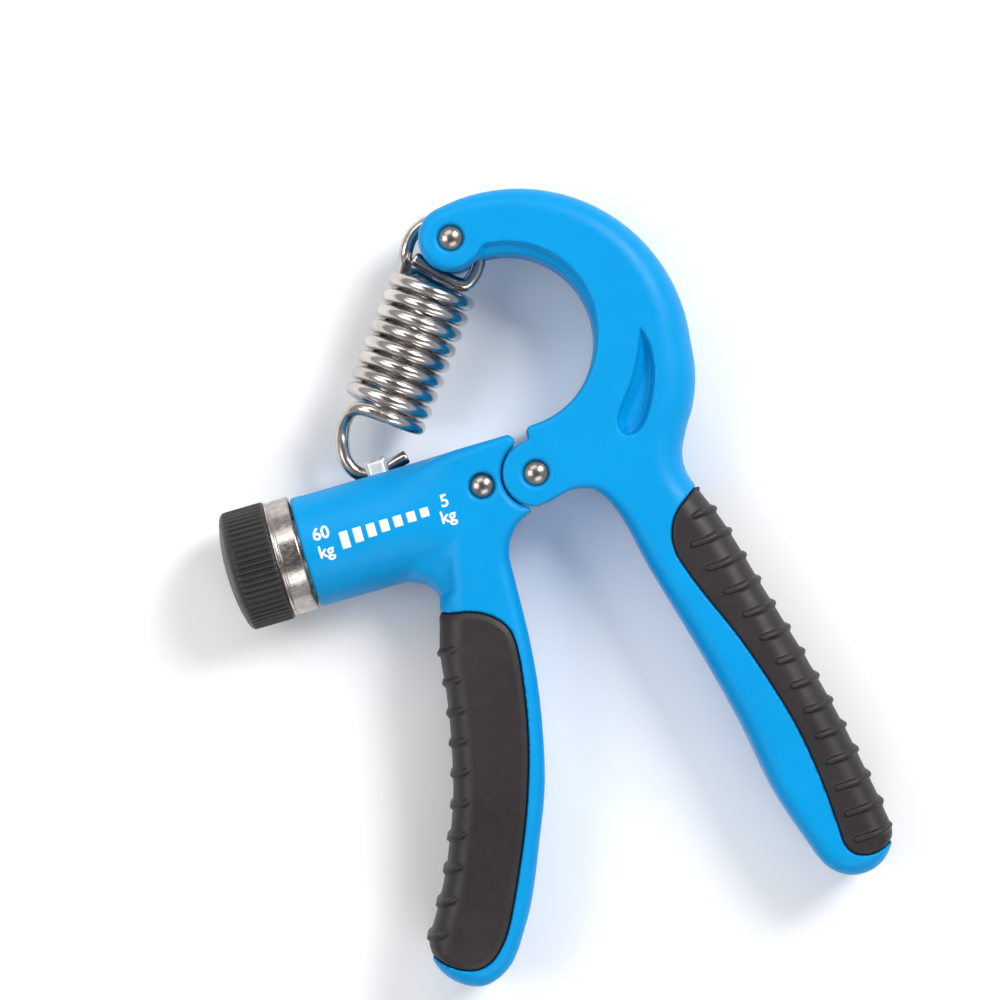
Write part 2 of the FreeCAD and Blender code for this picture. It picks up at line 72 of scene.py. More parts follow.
# ---- sizes read from the frame ----
THICKNESS = corners("fixed_frame")[1][2]
MID = THICKNESS / 2
ANCHOR = np.array(JOINTS["bush_turn"]["pos_m"][:2]) / MM
SPRING_AXIS = np.array(JOINTS["spring_stretch"]["axis"])
SCREW_Y = JOINTS["knob_spin"]["pos_m"][1] / MM
BARREL_END_X = corners("lever_housing")[0][0]
KNOB_X = (corners("knob_cap")[0][0], corners("knob_cap")[1][0])
RING_X = (corners("knob_ring")[0][0], corners("knob_ring")[1][0])
NUT_X = (corners("carriage_nut")[0][0], corners("carriage_nut")[1][0])
SCREW_X = (corners("lead_screw")[0][0], corners("lead_screw")[1][0])
HOUSING_RIVET = sum(place[:2] / 2 for place in corners("housing_rivet_washer"))

# ---- sizes of the fixed frame: hinge boss, arc, recess, palm handle, loop slot ----
HINGE_R = 6.3
HINGE_GAP = 0.25
TONGUE_POCKET_R = 6.5
TONGUE_HALF = 1.6
NOSE_POCKET_R = 8.4
NOSE_ANGLE = 14.0
NOSE_HALF_ANGLE = 32.5
ARC_CENTRE = (2.8, 21.0)
ARC_END_ANGLE = -8.0
EYE_CENTRE = (1.8, 25.3)
EYE_R = 16.4
EYE_START_ANGLE = -92.5
LEDGE_CENTRE = (2.1, 26.9)
LEDGE_R = 17.3
LEDGE_DEPTH = 0.9
LEDGE_SLOPE = 0.7
LEDGE_WALL = 0.8
BOSS_R = 6.15
BOSS_CROSSING = -55.0
RECESS_DEPTH = 2.7
PALM_TIP = (38.3, -82.1)
PALM_TIP_R = 7.6
LOOP_CENTRE = (-5.5, 44.5)
LOOP_R = 7.0
LOOP_SLOT_HALF = 1.7
LOOP_SLOT_R = 10.2
PALM_RIBS_Y = [-15.7 - 5.2 * i for i in range(14)]
PALM_LIP_Y = -10.9
PALM_LIP_R = 0.62

# ---- rivets and washers ----
RIVET_HEAD_R = 2.38
RIVET_DOME_R = 3.1
RIVET_CLEARANCE = 0.05
COUNTERBORE_R = 2.48
COUNTERBORE_DEPTH = 1.0
RIVET_R = 1.6
WASHER_R = 3.35
WASHER_Z = (0.95, 1.5)
BARREL_RIVET_FACE_Z = 20.8

# ---- barrel and handle of the lever ----
BARREL_R = THICKNESS / 2
BARREL_END_EDGE = 0.7
BLOCK_START_X = -29.0
BLOCK_RUN = 16.0
HANDLE_CORNER = (-25.0, -13.5)
HANDLE_CORNER_REACH = 13.0
HANDLE_TOP_Y = -14.0
HANDLE_FADE = 5.0
BORE_R = 7.6
BORE_END_X = -18.5
SLOT_X = (-43.5, -15.5)
SLOT_HALF = 3.0
SLOT_LIP = 0.42
BARREL_KEEL = 0.2
GROOVE_Y = 6.3
TONGUE_CAVITY = (-15.6, 0, -4.6, 5.6)
FINGER_RIBS_Y = [-27.6 - 5.65 * i for i in range(10)]

# ---- rubber skins ----
RUBBER_WALL = 2.0
SEAM = 0.12
RIB_R = 0.68
FINGER_RIB_R = 0.6

# ---- steps of the grids that the fields are sampled on ----
BODY_STEP = 0.35
PALM_RUBBER_STEP = 0.27
FINGER_RUBBER_STEP = 0.3
NUT_STEP = 0.16

# ---- printed scale ----
PRINT_LIFT = 0.035
PRINT_DEPTH = 0.2
LETTER_SIZE = 3.3
LETTER_STRIP = 0.3

# ---- spring wire, with places along the coil counted in turns ----
WIRE_R = 1.33
COIL_R = 7.22
COIL_PITCH = 3.15
COIL_START = 9.7
COIL_TILT = 0.45
TURN_STEP = 0.02
LOOP_END_TURN = -0.36
SPLIT_TURN = 7.0
LAST_TURN = 8.22

FLOOR_GAP = 0.35


# ---- outlines: rows of x, y and the radius of the edge there ----
def round_part(centre, radius, start, end, edge_start, edge_end=None, spacing=4.0):
    count = max(3, int(abs(end - start) / spacing))
    angles = np.radians(np.linspace(start, end, count))
    edges = np.linspace(edge_start, edge_start if edge_end is None else edge_end, count)
    return np.column_stack([centre[0] + radius * np.cos(angles),
                            centre[1] + radius * np.sin(angles), edges])


def smooth_line(rows, spacing=1.0):
    """Points along a smooth line through the given rows, of any number of columns."""
    rows = np.array(rows, float)
    gaps = np.linalg.norm(np.diff(rows, axis=0), axis=1)
    knots = np.concatenate([[0], np.cumsum(np.sqrt(gaps))])
    slopes = np.gradient(rows, knots, axis=0)
    count = max(4, int(gaps.sum() / spacing))
    run = np.concatenate([[0], np.cumsum(gaps)]) / gaps.sum()
    t = np.interp(np.linspace(0, 1, count), run, knots)
    i = np.clip(np.searchsorted(knots, t, side="right") - 1, 0, len(knots) - 2)
    span = (knots[i + 1] - knots[i])[:, None]
    u = (t - knots[i])[:, None] / span
    return (rows[i] * (2 * u ** 3 - 3 * u ** 2 + 1) + slopes[i] * span * (u ** 3 - 2 * u ** 2 + u)
            + rows[i + 1] * (3 * u ** 2 - 2 * u ** 3) + slopes[i + 1] * span * (u ** 3 - u ** 2))


def angle_from(centre, point):
    return math.degrees(math.atan2(point[1] - centre[1], point[0] - centre[0]))


def frame_outline():
    outer_r = math.dist(ANCHOR, ARC_CENTRE) + BOSS_R
    boss_angle = angle_from(ARC_CENTRE, ANCHOR)
    boss = round_part(ANCHOR, BOSS_R, BOSS_CROSSING, boss_angle - 360, 1.6, 2.2)
    eye_end = angle_from(EYE_CENTRE, boss[0])
    arc = round_part(ARC_CENTRE, outer_r, boss_angle, ARC_END_ANGLE, 2.8, 6.6)
    palm_side = smooth_line([
        arc[-1], (34.4, 10.3, 6.6), (32.3, 4.4, 6.6), (29.6, 0.0, 6.4), (27.7, -4.0, 6.0),
        (27.4, -7.4, 5.8), (28.7, -11.6, 5.6), (31.2, -18.0, 5.4), (35.5, -33.7, 5.4),
        (39.4, -48.0, 5.4), (42.4, -61.0, 5.4), (44.7, -74.0, 5.2),
        (PALM_TIP[0] + PALM_TIP_R, PALM_TIP[1], 4.8)])
    tip = round_part(PALM_TIP, PALM_TIP_R, 0, -165, 4.6, 2.8)
    gap_side = smooth_line([
        tip[-1], (26.8, -71.0, 3.2), (24.2, -56.3, 3.4), (20.6, -41.0, 3.4), (15.7, -22.5, 3.0),
        (14.0, -14.3, 2.6), (12.4, -9.6, 1.8), (10.6, -6.7, 1.6), (8.2, -5.3, 1.4),
        (5.2, -5.0, 1.2), (1.6, -5.7, 0.9), (-1.31, -6.16, 0.5)])
    return np.vstack([
        round_part((0, 0), HINGE_R, 86, 258, 0.45)[:-1],
        gap_side[::-1][:-1], tip[::-1][:-1], palm_side[::-1][:-1], arc[::-1][:-1],
        boss[::-1][:-1],
        round_part(EYE_CENTRE, EYE_R, eye_end, EYE_START_ANGLE, 1.1)[:-1],
        [(1.1, 8.85, 0.8), (0.5, 8.2, 0.6)]])


def lever_outline():
    back_of_fingers = smooth_line([
        (-1.6, -6.6, 0.8), (-4.6, -7.4, 1.6), (-7.2, -9.5, 2.2), (-9.0, -12.8, 2.6),
        (-9.4, -19.0, 2.8), (-9.9, -30.7, 2.8), (-11.2, -41.4, 2.8), (-14.6, -56.4, 2.8),
        (-18.8, -67.1, 2.8), (-23.6, -77.9, 2.8), (-27.9, -84.9, 3.0)])
    tip = smooth_line([
        back_of_fingers[-1], (-30.2, -87.6, 3.0), (-33.3, -89.5, 3.2), (-36.6, -90.1, 3.4),
        (-40.0, -88.8, 3.8), (-42.7, -86.2, 4.0), (-44.2, -82.8, 4.2), (-43.7, -79.2, 4.2)])
    finger_side = smooth_line([
        tip[-1], (-40.2, -73.4, 4.2), (-37.3, -68.0, 4.2), (-34.7, -62.0, 4.2), (-32.0, -55.0, 4.2),
        (-29.5, -45.5, 4.2), (-27.6, -35.6, 4.2), (-26.6, -27.5, 4.4), (-25.0, -21.6, 5.0),
        (-24.4, -17.0, 5.6), (-24.4, SCREW_Y - BARREL_R, 5.6)])
    top_y = SCREW_Y + BARREL_R
    barrel_low = SCREW_Y - BARREL_R
    return np.vstack([
        back_of_fingers[:-1], tip[:-1], finger_side,
        [(BARREL_END_X, barrel_low, 2.5), (BARREL_END_X, top_y, 2.5), (-14.0, top_y, 2.2),
         (-2.9, top_y, 1.2), (-1.9, 6.9, 0.8)]])


def palm_rubber_outline():
    border = smooth_line([
        (28.8, -10.4), (26.2, -12.1), (24.0, -13.7), (22.2, -15.9), (21.1, -19.0), (21.1, -22.0),
        (22.0, -25.2), (23.9, -30.3),
        (27.9, -39.9), (31.2, -49.8), (33.8, -59.6), (35.3, -69.5), (36.0, -79.4), (36.2, -83.0),
        (37.4, -85.3), (40.4, -86.4), (43.5, -85.9), (46.6, -84.2)])
    return np.vstack([border, [(60, -80), (60, -8)]])


def finger_rubber_outline():
    border = smooth_line([
        (-25.6, -19.6), (-23.4, -20.7), (-19.9, -21.4), (-17.0, -22.5), (-14.5, -24.4),
        (-13.0, -26.6), (-12.5, -29.2), (-13.3, -37.5), (-15.4, -48.1), (-19.2, -60.0),
        (-24.4, -72.1), (-28.9, -81.0), (-30.8, -83.6), (-33.3, -85.8), (-36.1, -86.7),
        (-39.0, -86.1), (-41.7, -84.4), (-44.6, -81.2)])
    return np.vstack([border, [(-60, -78), (-60, -18)]])


# ---- distance fields ----
class Grid:
    """Sample points of a box, in rows along x, y and z that broadcast against each other."""

    def __init__(self, low, high, step):
        self.low, self.step = np.array(low, float), step
        self.count = np.ceil((np.array(high) - self.low) / step).astype(int) + 1
        axes = [self.low[i] + step * np.arange(self.count[i]) for i in range(3)]
        self.x = axes[0][:, None, None].astype(np.float32)
        self.y = axes[1][None, :, None].astype(np.float32)
        self.z = axes[2][None, None, :].astype(np.float32)

    def outline(self, rows):
        """Signed distance to a closed outline, and the edge radius of its nearest point."""
        x, y = self.x[:, :, 0], self.y[:, :, 0]
        nearest = np.full((self.count[0], self.count[1]), 1e9, np.float32)
        edge = np.zeros_like(nearest)
        inside = np.zeros(nearest.shape, bool)
        for p, q in zip(rows, np.roll(rows, -1, axis=0)):
            dx, dy = q[0] - p[0], q[1] - p[1]
            along = np.clip(((x - p[0]) * dx + (y - p[1]) * dy) / (dx * dx + dy * dy + 1e-12), 0, 1)
            apart = (x - p[0] - along * dx) ** 2 + (y - p[1] - along * dy) ** 2
            closer = apart < nearest
            nearest[closer] = apart[closer]
            if len(p) > 2:
                edge[closer] = (p[2] + along * (q[2] - p[2]))[closer]
            if p[1] != q[1]:
                crossed = ((p[1] > y) != (q[1] > y)) & (x < p[0] + (y - p[1]) * dx / dy)
                inside ^= crossed
        signed = np.where(inside, -1, 1) * np.sqrt(nearest)
        return signed[:, :, None].astype(np.float32), edge[:, :, None]

    def upright(self, centre, radius):
        return np.hypot(self.x - centre[0], self.y - centre[1]) - radius

    def along_barrel(self, radius):
        return np.hypot(self.y - SCREW_Y, self.z - MID) - radius

    def layer(self, half):
        """Everything within half of the middle plane."""
        return np.abs(self.z - MID) - half


class Shifted:
    """A grid whose y is counted from a line that rises along x."""

    def __init__(self, grid, rise):
        self.y = grid.y - rise


def ease(t):
    t = np.clip(t, 0, 1)
    return t * t * (3 - 2 * t)


def join(a, b, soft=0.3):
    share = np.clip(0.5 + 0.5 * (b - a) / soft, 0, 1)
    return b + (a - b) * share - soft * share * (1 - share)


def common(a, b, soft=0.3):
    return -join(-a, -b, soft)


def cut(a, b, soft=0.3):
    return -join(-a, b, soft)


def round_corner(a, b, edge):
    """What both fields share, with a corner of the given radius where they meet."""
    a, b = a + edge, b + edge
    return np.minimum(np.maximum(a, b), 0) + np.hypot(np.maximum(a, 0), np.maximum(b, 0)) - edge


def moulding(grid, side, edge):
    """Plate of the full thickness, with its edges rounded."""
    return round_corner(side, grid.layer(MID), edge)


def bar(grid, x0, x1, y0, y1, half):
    """Box between two places in x and y, to both sides of the middle plane."""
    return np.maximum(np.maximum(np.maximum(x0 - grid.x, grid.x - x1),
                                 np.maximum(y0 - grid.y, grid.y - y1)), grid.layer(half))


def lowered(grid, field, drop, soft=0.6):
    """The field with its front and back faces lowered by drop."""
    face = grid.layer(MID) + drop - soft * (1 - ease(drop / soft))
    return common(field, face, soft)


# ---- meshes ----
def sample(field, places):
    """Field at places given in grid units, by linear interpolation."""
    limit = np.array(field.shape) - 1.001
    places = np.clip(places, 0, limit)
    whole = places.astype(int)
    part = places - whole
    total = 0.0
    for corner in range(8):
        step = np.array([corner & 1, corner >> 1 & 1, corner >> 2 & 1])
        at = whole + step
        share = np.prod(np.where(step, part, 1 - part), axis=1)
        total = total + share * field[at[:, 0], at[:, 1], at[:, 2]]
    return total


def slope(field, places, reach=0.6):
    steps = np.eye(3) * reach
    return np.column_stack([sample(field, places + s) - sample(field, places - s)
                            for s in steps]) / (2 * reach)


def net(field):
    """Surface net: one point in each cell that the zero surface crosses, and four-sided faces."""
    inside = field < 0
    cells = np.array(field.shape) - 1
    held = np.zeros(cells, np.int8)
    for corner in range(8):
        i, j, k = corner & 1, corner >> 1 & 1, corner >> 2 & 1
        held += inside[i:i + cells[0], j:j + cells[1], k:k + cells[2]]
    base = np.argwhere((held > 0) & (held < 8))
    number = np.full(cells, -1, np.int32)
    number[base[:, 0], base[:, 1], base[:, 2]] = np.arange(len(base))
    total, hits = np.zeros((len(base), 3)), np.zeros(len(base))
    for axis in range(3):
        along = np.eye(3, dtype=int)[axis]
        for side in range(4):
            offset = np.zeros(3, int)
            offset[(axis + 1) % 3], offset[(axis + 2) % 3] = side & 1, side >> 1
            a, b = base + offset, base + offset + along
            fa = field[a[:, 0], a[:, 1], a[:, 2]]
            fb = field[b[:, 0], b[:, 1], b[:, 2]]
            crossed = (fa < 0) != (fb < 0)
            share = np.where(crossed, fa / np.where(crossed, fa - fb, 1), 0)
            total[crossed] += (a + share[:, None] * along)[crossed]
            hits += crossed
    return total / hits[:, None], net_faces(inside, number)


def net_faces(inside, number):
    faces = []
    for axis in range(3):
        u, v = np.eye(3, dtype=int)[(axis + 1) % 3], np.eye(3, dtype=int)[(axis + 2) % 3]
        ahead = np.roll(inside, -1, axis=axis)
        crossed = inside != ahead
        crossed[tuple(slice(-1, None) if i == axis else slice(None) for i in range(3))] = False
        at = np.argwhere(crossed)
        shape = np.array(number.shape)
        at = at[(((at > 0) & (at < shape)) | (np.arange(3) == axis)).all(1)]
        ring = [number[tuple((at - s).T)] for s in (u * 0, u, u + v, v)]
        quads = np.column_stack(ring)
        inward = inside[tuple(at.T)]
        quads[inward] = quads[inward][:, ::-1]
        faces.append(quads[:, ::-1])
    return np.vstack(faces)


def carved(name, field, grid):
    """Mesh of a field's surface, with its normals taken from the field."""
    places, faces = net(field)
    # two steps along the slope, onto the surface
    for _ in range(2):
        out = slope(field, places)
        size = np.maximum((out ** 2).sum(1), 1e-6)
        move = sample(field, places)[:, None] * out / size[:, None]
        places = places + np.clip(move, -0.5, 0.5)
    out = slope(field, places)
    normals = out / np.maximum(np.linalg.norm(out, axis=1), 1e-9)[:, None]
    points = (grid.low + places * grid.step) * MM
    piece = mesh_piece(name, points, faces)
    piece.data.normals_split_custom_set_from_vertices(normals.tolist())
    return piece


def mesh_piece(name, points, faces):
    mesh = bpy.data.meshes.new(name)
    faces = np.asarray(faces)
    mesh.vertices.add(len(points))
    mesh.vertices.foreach_set("co", np.asarray(points, np.float32).ravel())
    mesh.loops.add(faces.size)
    mesh.loops.foreach_set("vertex_index", faces.astype(np.int32).ravel())
    mesh.polygons.add(len(faces))
    starts = np.arange(0, faces.size, faces.shape[1], dtype=np.int32)
    mesh.polygons.foreach_set("loop_start", starts)
    mesh.polygons.foreach_set("use_smooth", np.ones(len(faces), bool))
    mesh.update(calc_edges=True)
    mesh.validate()
    piece = bpy.data.objects.new(name, mesh)
    bpy.context.scene.collection.objects.link(piece)
    return piece


def grid_faces(rows, columns, closed=True):
    """Faces of a sheet of points in rows, wrapped round its columns when closed."""
    across = columns if closed else columns - 1
    r, c = np.meshgrid(np.arange(rows - 1), np.arange(across), indexing="ij")
    right = (c + 1) % columns
    return np.stack([r * columns + c, r * columns + right, (r + 1) * columns + right,
                     (r + 1) * columns + c], axis=-1).reshape(-1, 4)


def turned(name, profile, centre, axis, segments=96, ripple=None):
    """Round piece from rows of place along the axis and radius. It starts and ends on the axis,
    or closes on itself. ripple gives a change of radius from row number and angle."""
    profile = np.array(profile, float)
    angle = np.linspace(0, 2 * math.pi, segments, endpoint=False)
    radius = np.repeat(profile[:, 1][:, None], segments, axis=1)
    if ripple is not None:
        radius = radius + ripple(profile, angle)
    along = np.repeat(profile[:, 0][:, None], segments, axis=1)
    across_a, across_b = radius * np.cos(angle), radius * np.sin(angle)
    order = {"x": (along, across_a, across_b), "z": (across_a, across_b, along)}[axis]
    points = np.stack(order, axis=-1).reshape(-1, 3) + np.array(centre)
    piece = mesh_piece(name, points * MM, grid_faces(len(profile), segments))
    weld(piece)
    return piece


def weld(piece, distance=1e-7):
    shape = bmesh.new()
    shape.from_mesh(piece.data)
    bmesh.ops.remove_doubles(shape, verts=shape.verts, dist=distance)
    bmesh.ops.recalc_face_normals(shape, faces=shape.faces)
    for face in shape.faces:
        face.smooth = True
    shape.to_mesh(piece.data)
    shape.free()


def rounded(points, radius=0.2, steps=4):
    """A profile with its corners rounded by short arcs."""
    points = [np.array(p, float) for p in points]
    out = [points[0]]
    for before, here, after in zip(points, points[1:], points[2:]):
        reach = min(radius, np.linalg.norm(before - here) / 2.2, np.linalg.norm(after - here) / 2.2)
        start = here + (before - here) / np.linalg.norm(before - here) * reach
        end = here + (after - here) / np.linalg.norm(after - here) * reach
        for t in np.linspace(0, 1, steps + 1):
            out.append(start * (1 - t) ** 2 + here * 2 * t * (1 - t) + end * t * t)
    out.append(points[-1])
    return out


def tube(name, path, radius, sides=24, end_bevel=0.25):
    """Round wire along a path, with flat cut ends."""
    path = np.array(path, float)
    ahead = np.gradient(path, axis=0)
    ahead /= np.linalg.norm(ahead, axis=1)[:, None]
    side = np.cross(ahead[0], (0, 0, 1.0))
    side /= np.linalg.norm(side)
    rings = []
    angle = np.linspace(0, 2 * math.pi, sides, endpoint=False)
    for point, direction in zip(path, ahead):
        side = side - direction * side.dot(direction)
        side /= np.linalg.norm(side)
        other = np.cross(direction, side)
        rings.append((point, side, other))
    ends = [(0, 0.0, 0.0), (0, radius - end_bevel, 0.0), (0, radius, end_bevel)]
    last = len(path) - 1
    rows = [(i, r, shift) for i, r, shift in ends]
    rows += [(i, radius, 0.0) for i in range(1, last)]
    rows += [(last, r, -shift) for _, r, shift in reversed(ends)]
    points = []
    for i, r, shift in rows:
        point, side, other = rings[i]
        centre = point + ahead[i] * shift
        points.append(centre + r * (np.outer(np.cos(angle), side) + np.outer(np.sin(angle), other)))
    piece = mesh_piece(name, np.concatenate(points) * MM, grid_faces(len(rows), sides))
    share = np.repeat([i / last for i, _, _ in rows], sides)
    attribute = piece.data.attributes.new("along", "FLOAT", "POINT")
    attribute.data.foreach_set("value", share.astype(np.float32))
    weld(piece)
    return piece


# ---- the fixed frame and its rubber ----
def rivet_seats(grid, field, centre, face_z):
    seat = np.maximum(grid.upright(centre, COUNTERBORE_R), face_z - COUNTERBORE_DEPTH - grid.z)
    back_seat = np.maximum(grid.upright(centre, WASHER_R + RIVET_CLEARANCE), grid.z - WASHER_Z[1])
    hole = grid.upright(centre, RIVET_R + RIVET_CLEARANCE)
    return cut(cut(cut(field, seat, 0.9), back_seat, 0.3), hole, 0.2)


def distance_to_line(grid, points):
    x, y = grid.x[:, :, 0], grid.y[:, :, 0]
    nearest = np.full((grid.count[0], grid.count[1]), 1e9, np.float32)
    for p, q in zip(points, points[1:]):
        dx, dy = q[0] - p[0], q[1] - p[1]
        along = np.clip(((x - p[0]) * dx + (y - p[1]) * dy) / (dx * dx + dy * dy), 0, 1)
        nearest = np.minimum(nearest, np.hypot(x - p[0] - along * dx, y - p[1] - along * dy))
    return nearest[:, :, None]


def leaf_drop(grid):
    """Depth of the leaf-shaped recess: a steep wall on its outer side and a gentle inner slope."""
    inner_side = smooth_line([(26.5, 21.9), (24.7, 17.2), (21.8, 11.9), (18.9, 8.2), (17.2, 5.5),
                              (17.0, 3.5)], 0.6)
    outer_side = smooth_line([(17.0, 3.5), (17.8, 2.2), (19.4, 1.7), (21.4, 2.5), (23.4, 4.7),
                              (25.6, 8.8), (27.1, 13.4), (27.3, 18.0), (26.5, 21.9)], 0.6)
    leaf, _ = grid.outline(np.vstack([inner_side[:-1], outer_side[:-1]]))
    from_inner = distance_to_line(grid, inner_side)
    wall, slope_width, shallow_share = 0.7, 2.8, 0.3
    deepening = shallow_share + (1 - shallow_share) * ease(from_inner / slope_width)
    return RECESS_DEPTH * ease(-leaf / wall) * deepening


def ledge_drop(grid):
    """Depth of the crescent step along the round opening: a low wall, then a slope inwards."""
    from_ledge = -grid.upright(LEDGE_CENTRE, LEDGE_R)
    from_boss = grid.upright(ANCHOR, BOSS_R)
    depth = LEDGE_DEPTH * ease(from_ledge / LEDGE_WALL) + LEDGE_SLOPE * np.maximum(from_ledge, 0)
    return depth * ease((from_boss + 0.6) / 1.2)


def frame_field(grid):
    side, edge = grid.outline(frame_outline())
    blank = moulding(grid, side, edge)
    return lowered(grid, blank, np.maximum(ledge_drop(grid), leaf_drop(grid)))


def tongue_pocket(grid):
    """Slot between the two cheeks of the hinge boss, with room for the tongue's nose."""
    angle = np.degrees(np.arctan2(grid.y, grid.x))
    millimetres_per_degree = 0.1
    beside = (np.abs(angle - NOSE_ANGLE) - NOSE_HALF_ANGLE) * millimetres_per_degree
    nose = np.maximum(grid.upright((0, 0), NOSE_POCKET_R), beside)
    pocket = np.minimum(grid.upright((0, 0), TONGUE_POCKET_R), nose)
    return np.maximum(pocket, grid.layer(TONGUE_HALF))


def rubber_seat(field, region):
    return np.maximum(region - SEAM / 2, -(field + RUBBER_WALL))


def make_fixed_frame():
    low, high = corners("fixed_frame")
    grid = Grid(low - 1.2, high + 1.2, BODY_STEP)
    blank = frame_field(grid)
    region, _ = grid.outline(palm_rubber_outline())
    field = cut(blank, rubber_seat(blank, region), 0.25)
    field = rivet_seats(grid, field, (0, 0), THICKNESS)
    field = rivet_seats(grid, field, ANCHOR, THICKNESS)
    loop_slot = np.maximum(grid.upright(LOOP_CENTRE, LOOP_SLOT_R), grid.layer(LOOP_SLOT_HALF))
    field = cut(field, loop_slot, 0.3)
    field = cut(field, tongue_pocket(grid), 0.2)
    return carved("fixed_frame_body", field, grid)


def ribs(grid, surface, places, ends, radius):
    """Half-round bars along a surface, one at each place in y, up to where ends is positive."""
    reach = np.maximum(ends, 0)
    across = np.abs(grid.y - places[0])
    for place in places[1:]:
        across = np.minimum(across, np.abs(grid.y - place))
    return np.sqrt(surface ** 2 + across ** 2 + reach ** 2) - radius


def make_palm_grip():
    low, high = corners("palm_grip")
    grid = Grid(low - 1.4, high + 1.4, PALM_RUBBER_STEP)
    blank = frame_field(grid)
    region, _ = grid.outline(palm_rubber_outline())
    skin = common(blank, region + SEAM, 0.55)
    skin = np.maximum(skin, -(blank + RUBBER_WALL))
    rise = 0.04 * (grid.x - 30) + 0.35 * ease((-region - 6) / 3)
    bent = Shifted(grid, rise)
    inset = 3.6 - 1.2 * ease((-42 - grid.y) / 34)
    bars = ribs(bent, blank, PALM_RIBS_Y, region + inset, RIB_R)
    lip = ribs(grid, blank, [PALM_LIP_Y], region + 1.0, PALM_LIP_R)
    return carved("palm_grip_rubber", join(join(skin, bars, 0.14), lip, 0.2), grid)


# ---- the lever and its rubber ----
def plate_share(x):
    """How far the round barrel has turned into the flat hinge block at x."""
    return ease((x - BLOCK_START_X) / BLOCK_RUN)


def inside_handle(x, y):
    """Distance to the right of the line where the flat handle runs up into the barrel."""
    foot, run = (-24.4, -18.6), (5.0, 16.4)
    slanted = ((x - foot[0]) * run[1] - (y - foot[1]) * run[0]) / math.hypot(*run)
    below_y, widening = -17.0, 1.5
    return slanted + widening * np.maximum(below_y - y, 0)


def barrel_field(grid):
    """Round barrel with a rounded mouth. It stands a little proud along the slot and beneath."""
    off = grid.y - SCREW_Y
    off = off - SLOT_LIP * ease((off - 4.5) / 5.5) + BARREL_KEEL * ease((-off - 4.5) / 5.5)
    wall = np.hypot(off, grid.z - MID) - BARREL_R
    return round_corner(wall, BARREL_END_X - grid.x, BARREL_END_EDGE)


def lever_field(grid):
    side, edge = grid.outline(lever_outline())
    plate = moulding(grid, side, edge)
    barrel = barrel_field(grid)
    upper = barrel * (1 - plate_share(grid.x)) + plate * plate_share(grid.x)
    handle = common(plate, -inside_handle(grid.x, grid.y), HANDLE_FADE)
    upper = np.maximum(upper, HANDLE_TOP_Y - grid.y)
    from_corner = grid.upright(HANDLE_CORNER, 0)
    soft = (0.05 + 9.5 * ease(1 - from_corner / HANDLE_CORNER_REACH)
            * ease((MID - np.abs(grid.z - MID)) / 4))
    return join(upper, handle, soft)


def make_lever_housing():
    low, high = corners("lever_housing")
    grid = Grid(low - 1.2, high + 1.2, BODY_STEP)
    blank = lever_field(grid)
    region, _ = grid.outline(finger_rubber_outline())
    field = cut(blank, rubber_seat(blank, region), 0.25)
    field = cut(field, grid.upright((0, 0), HINGE_R + HINGE_GAP), 1.7)
    field = rivet_seats(grid, field, HOUSING_RIVET, BARREL_RIVET_FACE_Z)
    bore = np.maximum(grid.along_barrel(BORE_R), grid.x - BORE_END_X)
    slot = bar(grid, SLOT_X[0], BORE_END_X, SCREW_Y, 20, SLOT_HALF)
    groove = bar(grid, BORE_END_X - 1, SLOT_X[1], GROOVE_Y, 20, SLOT_HALF)
    # a flat on the bridge at the barrel's mouth, level with the slot's edges
    edge_y = SCREW_Y + SLOT_LIP + math.sqrt(BARREL_R ** 2 - SLOT_HALF ** 2)
    flat = bar(grid, BARREL_END_X - 2, BORE_END_X, edge_y, 20, SLOT_HALF)
    for hollow in (bore, slot, groove, flat, bar(grid, *TONGUE_CAVITY, TONGUE_HALF)):
        field = cut(field, hollow, 0.3)
    return carved("lever_housing_body", field, grid)


def make_finger_grip():
    low, high = corners("finger_grip")
    grid = Grid(low - 1.4, high + 1.4, FINGER_RUBBER_STEP)
    blank = lever_field(grid)
    side, _ = grid.outline(lever_outline())
    region, _ = grid.outline(finger_rubber_outline())
    pad = blank - 0.22 * ease((-region - 0.5) / 0.9)
    skin = common(pad, region + SEAM, 0.5)
    skin = np.maximum(skin, -(blank + RUBBER_WALL))
    bars = ribs(grid, pad, FINGER_RIBS_Y, np.maximum(region + 2.5, -side - 2.2), FINGER_RIB_R)
    return carved("finger_grip_rubber", join(skin, bars, 0.14), grid)


# ---- turned pieces ----
def make_rivet(name, centre, face_z):
    seat_z = face_z - COUNTERBORE_DEPTH
    rim_z = seat_z + 0.4
    drop = math.sqrt(RIVET_DOME_R ** 2 - RIVET_HEAD_R ** 2)
    widest = math.asin(RIVET_HEAD_R / RIVET_DOME_R)
    dome = [(rim_z - drop + RIVET_DOME_R * math.cos(a), RIVET_DOME_R * math.sin(a))
            for a in np.linspace(0, widest, 14)]
    formed_z = WASHER_Z[0]
    rest = rounded([dome[-1], (seat_z, RIVET_HEAD_R), (seat_z, RIVET_R), (formed_z, RIVET_R),
                    (formed_z, 2.1), (0.3, 2.0), (0.25, 0.0)], 0.12)
    return turned(name, dome + rest[1:], (centre[0], centre[1], 0), "z")


def make_washer(name, centre):
    inner = RIVET_R + RIVET_CLEARANCE
    z0, z1 = WASHER_Z
    profile = rounded([(z1, inner + 0.4), (z1, WASHER_R), (z0, WASHER_R), (z0, inner), (z1, inner),
                       (z1, inner + 0.4)], 0.1)
    return turned(name, profile, (centre[0], centre[1], 0), "z")


